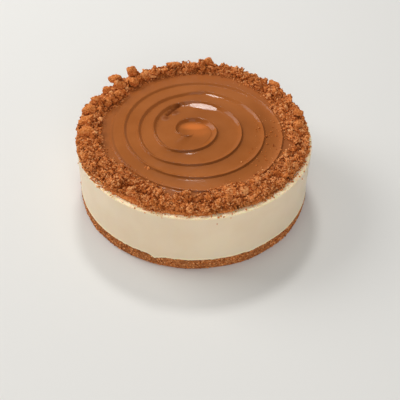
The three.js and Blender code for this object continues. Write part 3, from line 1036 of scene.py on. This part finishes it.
def withPlaced(places, sizes, placed):  # adds those given by bearing, distance, height and size
    rows = np.array(placed)
    heights = cake["spreadLevel"] + rows[:, 2]
    high = np.column_stack([ringPlaces(rows[:, 0], rows[:, 1]), heights])
    return np.concatenate([places, high]), np.concatenate([sizes, rows[:, 3]])


def heldIn(places, sizes):  # keeps the outer side of each behind the heap's edge
    radii = np.hypot(places[:, 0], places[:, 1])
    share = np.minimum(1, (rimLimit(bearing(places)) - 0.85 * sizes) / radii)
    return np.column_stack([places[:, :2] * share[:, None], places[:, 2]])


def upwards(places, normals):
    inside = np.hypot(places[:, 0], places[:, 1]) < rimLimit(bearing(places)) + 0.7
    return (normals[:, 2] > -0.5) * (places[:, 2] > cake["creamTop"] + 0.1) * inside


def lumpChance(places, normals):  # broken biscuit lies behind on the left, less of it behind and on the right
    degrees = bearing(places)
    zone = 0.04 + 0.96 * near(degrees, 140, 48) + 0.5 * near(degrees, 85, 25) + 0.5 * near(degrees, 22, 34)
    return upwards(places, normals) * (normals[:, 2] > 0.3) * zone


def clumpChance(places, normals):  # crumbly clumps lie in front and on the right
    degrees = bearing(places)
    zone = 0.05 + 0.6 * near(degrees, 235, 40) + 0.5 * near(degrees, 285, 30) + near(degrees, 355, 45)
    return upwards(places, normals) * (normals[:, 2] > 0.3) * zone


def inFront(degrees):
    return near(degrees, 255, 55) + near(degrees, 330, 30)


def fineChance(places, normals):  # few fine crumbs among the coarse lumps behind
    degrees = bearing(places)
    bare = np.clip(0.9 * near(degrees, 140, 50) + 0.3 * near(degrees, 30, 40), 0, 0.85)
    gaps = np.array([heapGap(Vector(place)) for place in places])
    return upwards(places, normals) * (1 - bare) * np.maximum(0, 1 - 0.9 * gaps)


lumpValues = {
    "count": 105,
    "smallest": 2.2,
    "largest": 4.2,
    "peak": (  # bearing, distance, height over the spread and size
        (96.6, 97.4, 4.6, 2.2),
        (95.4, 97.6, 6.1, 1.5),
        (94.4, 97.8, 7.4, 1.0),
    ),
}


def makeLumps(values):
    shapes = makeGrainShapes(9, 4, 0.28, 8, 0.42, 0.1)
    places, normals = pointsOn(skinOf([heapMesh]), values["count"], lumpChance)
    sizes = drawnSizes(values, mix(0.5, 1, leftBehind(bearing(places))))
    places = heldIn(lifted(places, normals, sizes, -0.2, 0.25), sizes)
    places, sizes = withPlaced(places, sizes, values["peak"])
    return layGrains("crumbLumps", shapes, places, sizes, draw.uniform(0.2, 0.8, len(sizes)))


lumpMesh = makeLumps(lumpValues)
addPiece("crumbLumps", lumpMesh, biscuitCrumb)

clumpValues = {
    "count": 60,
    "smallest": 2.2,
    "largest": 4.4,
    "crumbSize": 0.34,  # of a clump's own size
    "crumbRelief": 0.28,
    "ridge": (  # the largest in front, given like the peak
        (266.0, 82.0, 2.2, 4.2),
        (261.5, 83.5, 2.4, 3.5),
        (278.5, 82.5, 2.2, 3.6),
        (251.5, 81.0, 1.8, 3.9),
        (247.0, 82.5, 2.0, 3.4),
        (222.5, 79.0, 2.6, 3.7),
        (224.0, 75.5, 0.9, 2.6),
        (290.0, 83.5, 2.0, 3.2),
        (309.0, 80.0, 2.2, 3.3),
    ),
}


def makeClumps(values):  # their skin has the relief of the crumbs that they are pressed from
    shapes = []
    for corners, faces in makeGrainShapes(7, 4, 0.3, 3, 0.65):
        bumps = [0.5 - noise.voronoi(Vector(corner) / values["crumbSize"])[0][0] for corner in corners]
        shapes.append((corners * (1 + values["crumbRelief"] * np.array(bumps))[:, None], faces))
    places, normals = pointsOn(skinOf([heapMesh]), values["count"], clumpChance)
    sizes = drawnSizes(values)
    places = heldIn(lifted(places, normals, sizes, -0.3, 0.12), sizes)
    places, sizes = withPlaced(places, sizes, values["ridge"])
    return layGrains("crumbClumps", shapes, places, sizes, draw.uniform(0.2, 0.8, len(sizes)))


clumpMesh = makeClumps(clumpValues)
addPiece("crumbClumps", clumpMesh, biscuitCrumb)

crumbValues = {"count": 1500, "smallest": 0.75, "largest": 2.2}


def crumbChance(places, normals):  # fewer of them in front, where the heap is sandy
    return fineChance(places, normals) * (1 - 0.65 * np.clip(inFront(bearing(places)), 0, 1))


def makeCrumbs(values):
    shapes = makeGrainShapes(9, 2, 0.7)
    skin = skinOf([heapMesh, lumpMesh, clumpMesh])
    places, normals = pointsOn(skin, values["count"], crumbChance)
    degrees = bearing(places)
    coarse = np.clip(0.25 + near(degrees, 140, 60) + 0.45 * near(degrees, 15, 45), 0, 1)
    sizes = drawnSizes(values, coarse)
    places = heldIn(lifted(places, normals, sizes, -0.1, 0.4), sizes)
    return layGrains("crumbs", shapes, places, sizes, draw.uniform(0, 1, values["count"]))


crumbMesh = makeCrumbs(crumbValues)
addPiece("crumbs", crumbMesh, biscuitCrumb)

grainValues = {"count": 9600, "smallest": 0.36, "largest": 0.9}


def makeGrains(name, skin, values, chance, lift=(0.0, 0.5)):
    shapes = makeGrainShapes(11, 1, 0.9, 3)
    places, normals = pointsOn(skin, values["count"], chance)
    sizes = drawnSizes(values)
    places = lifted(places, normals, sizes, *lift)
    return layGrains(name, shapes, places, sizes, draw.uniform(-0.1, 1.1, values["count"]))


heapSkin = skinOf([heapMesh, lumpMesh, clumpMesh, crumbMesh])
addPiece("grains", makeGrains("grains", heapSkin, grainValues, fineChance), biscuitCrumb)

fineGrainValues = {"count": 9800, "smallest": 0.26, "largest": 0.55}


def sandyChance(places, normals):
    return fineChance(places, normals) * (0.15 + np.clip(inFront(bearing(places)), 0, 1))


fineGrains = makeGrains("fineGrains", heapSkin, fineGrainValues, sandyChance)
addPiece("fineGrains", fineGrains, biscuitCrumb)

baseGrainValues = {"count": 2600, "smallest": 0.4, "largest": 0.85}


def onBaseSide(places, normals):
    return (np.hypot(places[:, 0], places[:, 1]) > 99) * (places[:, 2] > 1.3)


baseSkin = inFixedOrder(skinOf([bpy.data.objects["biscuitBase"].data]))
baseGrains = makeGrains("baseGrains", baseSkin, baseGrainValues, onBaseSide, (-0.5, 0.0))
addPiece("baseGrains", baseGrains, biscuitCrumb)


# Stray crumbs along the heap's edges, on the spread, on the rim and on the side
def heapEdges(mesh):  # inner and outer radius of the heap's foot, for each degree
    inner, outer = np.full(360, 90.0), np.full(360, 90.0)
    for vert in mesh.vertices:
        place = vert.co / mm
        angle, radius = polar(place.x, place.y)
        degree = int(math.degrees(angle)) % 360
        if place.z < cake["spreadLevel"] + 2.1 and radius < 92:
            inner[degree] = min(inner[degree], radius)
        if place.z < cake["creamTop"] + 2.5:
            outer[degree] = max(outer[degree], radius)
    return inner, outer


def onTopOf(piece, flat):  # drops places onto a piece, in millimetres
    heights = []
    for x, y in flat:
        above = Vector((x * mm, y * mm, 0.1))
        hit, place, _, _ = piece.ray_cast(above, Vector((0, 0, -1)))
        heights.append(place.z / mm if hit else cake["creamTop"])
    return np.column_stack([flat, heights])


strayValues = {
    "innerEdge": (900, 1.6),  # count and mean reach
    "outerEdge": (850, 0.3),  # count and mean reach as a share of the bare rim
    "foot": (1000, 0.55, 1.3),  # count, spread inwards and outwards, height up the heap
    "onSpread": (80, -44, 26, 52, 77),  # count, bearings and radii
    "onSide": (  # bearing, height below the rim and radius of each crumb stuck to the side
        (221.8, -0.2, 0.9),
        (249, 0.6, 0.6),
        (256.9, 1.6, 0.8),
        (281.1, 6.4, 0.5),
        (287.3, 2.2, 0.6),
        (332.4, 6.0, 0.8),
        (240.8, 49.5, 0.8),
    ),
    "singles": ((-36, -48, 1.3), (-38.5, -46.5, 0.8)),  # place on the spread and size
    "rimEdge": 100.1,  # none lies farther out
    "sideRadius": 100.2,
    "seat": 0.35,  # how far each stands up, as a share of its size
}


def straySizes(smallest, largest, count):
    return mix(smallest, largest, draw.uniform(0, 1, count) ** 2)


def innerStrays(values, spread, inner):
    count, reach = values["innerEdge"]
    degrees = draw.uniform(0, 360, count)
    away = draw.exponential(reach, count) - 0.8
    places = onTopOf(spread, ringPlaces(degrees, inner[degrees.astype(int)] - away))
    return places, straySizes(0.35, 1.0, count) * np.clip(1.1 - 0.1 * away, 0.5, 1)


def outerStrays(values, cream, outer):
    count, reach = values["outerEdge"]
    degrees = draw.uniform(0, 360, count)
    limit = np.minimum(outer[degrees.astype(int)], rimLimit(degrees))
    radii = limit - 0.7 + draw.exponential(reach, count) * (101.5 - limit)
    radii = np.where(radii > values["rimEdge"], limit, radii)
    return onTopOf(cream, ringPlaces(degrees, radii)), straySizes(0.25, 1.0, count)


def footStrays(values, cream):  # where the heap meets the rim
    count, reach, high = values["foot"]
    degrees = draw.uniform(0, 360, count)
    radii = np.minimum(rimLimit(degrees) - 0.5 + draw.normal(0, reach, count), 99.4)
    places = onTopOf(cream, ringPlaces(degrees, radii))
    places[:, 2] += draw.uniform(0, high, count) * (radii < rimLimit(degrees) - 0.3)
    return places, straySizes(0.4, 1.0, count)


def spreadStrays(values, spread):
    count, first, last, low, high = values["onSpread"]
    flat = ringPlaces(draw.uniform(first, last, count), draw.uniform(low, high, count))
    return onTopOf(spread, flat), straySizes(0.3, 0.95, count)


def placedStrays(values, spread):  # on the side, and two on the spread
    side, singles = np.array(values["onSide"]), np.array(values["singles"])
    flat = ringPlaces(side[:, 0], values["sideRadius"])
    places = [np.column_stack([flat, cake["creamTop"] - side[:, 1]]), onTopOf(spread, singles[:, :2])]
    return np.concatenate(places), np.concatenate([side[:, 2], singles[:, 2]])


def makeStrays(values):
    inner, outer = heapEdges(heapMesh)
    spread = bpy.data.objects["biscuitSpread"]
    cream = bpy.data.objects["creamFilling"]
    bpy.context.view_layer.update()
    groups = [innerStrays(values, spread, inner), outerStrays(values, cream, outer)]
    groups += [footStrays(values, cream), spreadStrays(values, spread), placedStrays(values, spread)]
    places, sizes = (np.concatenate(part) for part in zip(*groups))
    places[:, 2] += values["seat"] * sizes
    tones = draw.uniform(0.2, 0.9, len(sizes)) + 0.1 * (np.hypot(places[:, 0], places[:, 1]) > 92)
    return layGrains("strayCrumbs", makeGrainShapes(7, 1, 0.9, 3), places, sizes, tones)


addPiece("strayCrumbs", makeStrays(strayValues), biscuitCrumb)


# Floor, light and air
stageValues = {
    "floor": (228, 228, 226),
    "air": 0.33,
    "airTint": (1, 0.995, 0.985, 1),
    "aimHeight": 0.05,  # of the point that the lights face
    "lights": (  # name, bearing and height in degrees, distance, size, power, colour
        ("backSoftbox", 95.5, 57, 1.5, (0.23, 0.21), 6.6, (1.0, 0.98, 0.95)),
        ("leftSoftbox", 157, 36, 2.2, (1.3, 1.1), 24.5, (1.0, 0.98, 0.95)),
        ("frontSoftbox", 276, 35, 2.2, (1.4, 1.0), 14.5, (1.0, 0.97, 0.93)),
    ),
}


def addLight(aimHeight, name, side, height, distance, size, power, colour):
    data = bpy.data.lights.new(name, "AREA")
    data.shape = "RECTANGLE"
    data.size, data.size_y = size
    data.energy = power
    data.color = colour
    level = math.cos(math.radians(height))
    away = Vector((level * math.cos(math.radians(side)), level * math.sin(math.radians(side)), 0))
    away.z = math.sin(math.radians(height))
    light = bpy.data.objects.new(name, data)
    aim = (-away).to_track_quat("-Z", "Y").to_matrix().to_4x4()
    light.matrix_world = Matrix.Translation(away * distance + Vector((0, 0, aimHeight))) @ aim
    bpy.context.scene.collection.objects.link(light)


def addStage(values):
    form = bmesh.new()
    bmesh.ops.create_grid(form, x_segments=1, y_segments=1, size=6)
    mesh = meshOf("floor", form)
    finish, _, shader = newFinish("paleFloor", Roughness=0.7, Specular_IOR_Level=0.2)
    shader.inputs["Base Color"].default_value = tint(*values["floor"])
    mesh.materials.append(finish)
    floor = bpy.data.objects.new("floor", mesh)
    bpy.context.scene.collection.objects.link(floor)
    world = bpy.data.worlds.new("air")
    world.use_nodes = True
    sky = world.node_tree.nodes["Background"]
    sky.inputs["Color"].default_value = values["airTint"]
    sky.inputs["Strength"].default_value = values["air"]
    bpy.context.scene.world = world
    for light in values["lights"]:
        addLight(values["aimHeight"], *light)


addStage(stageValues)
bpy.context.scene.view_settings.view_transform = "Standard"
print("floor and", len(stageValues["lights"]), "lights placed")
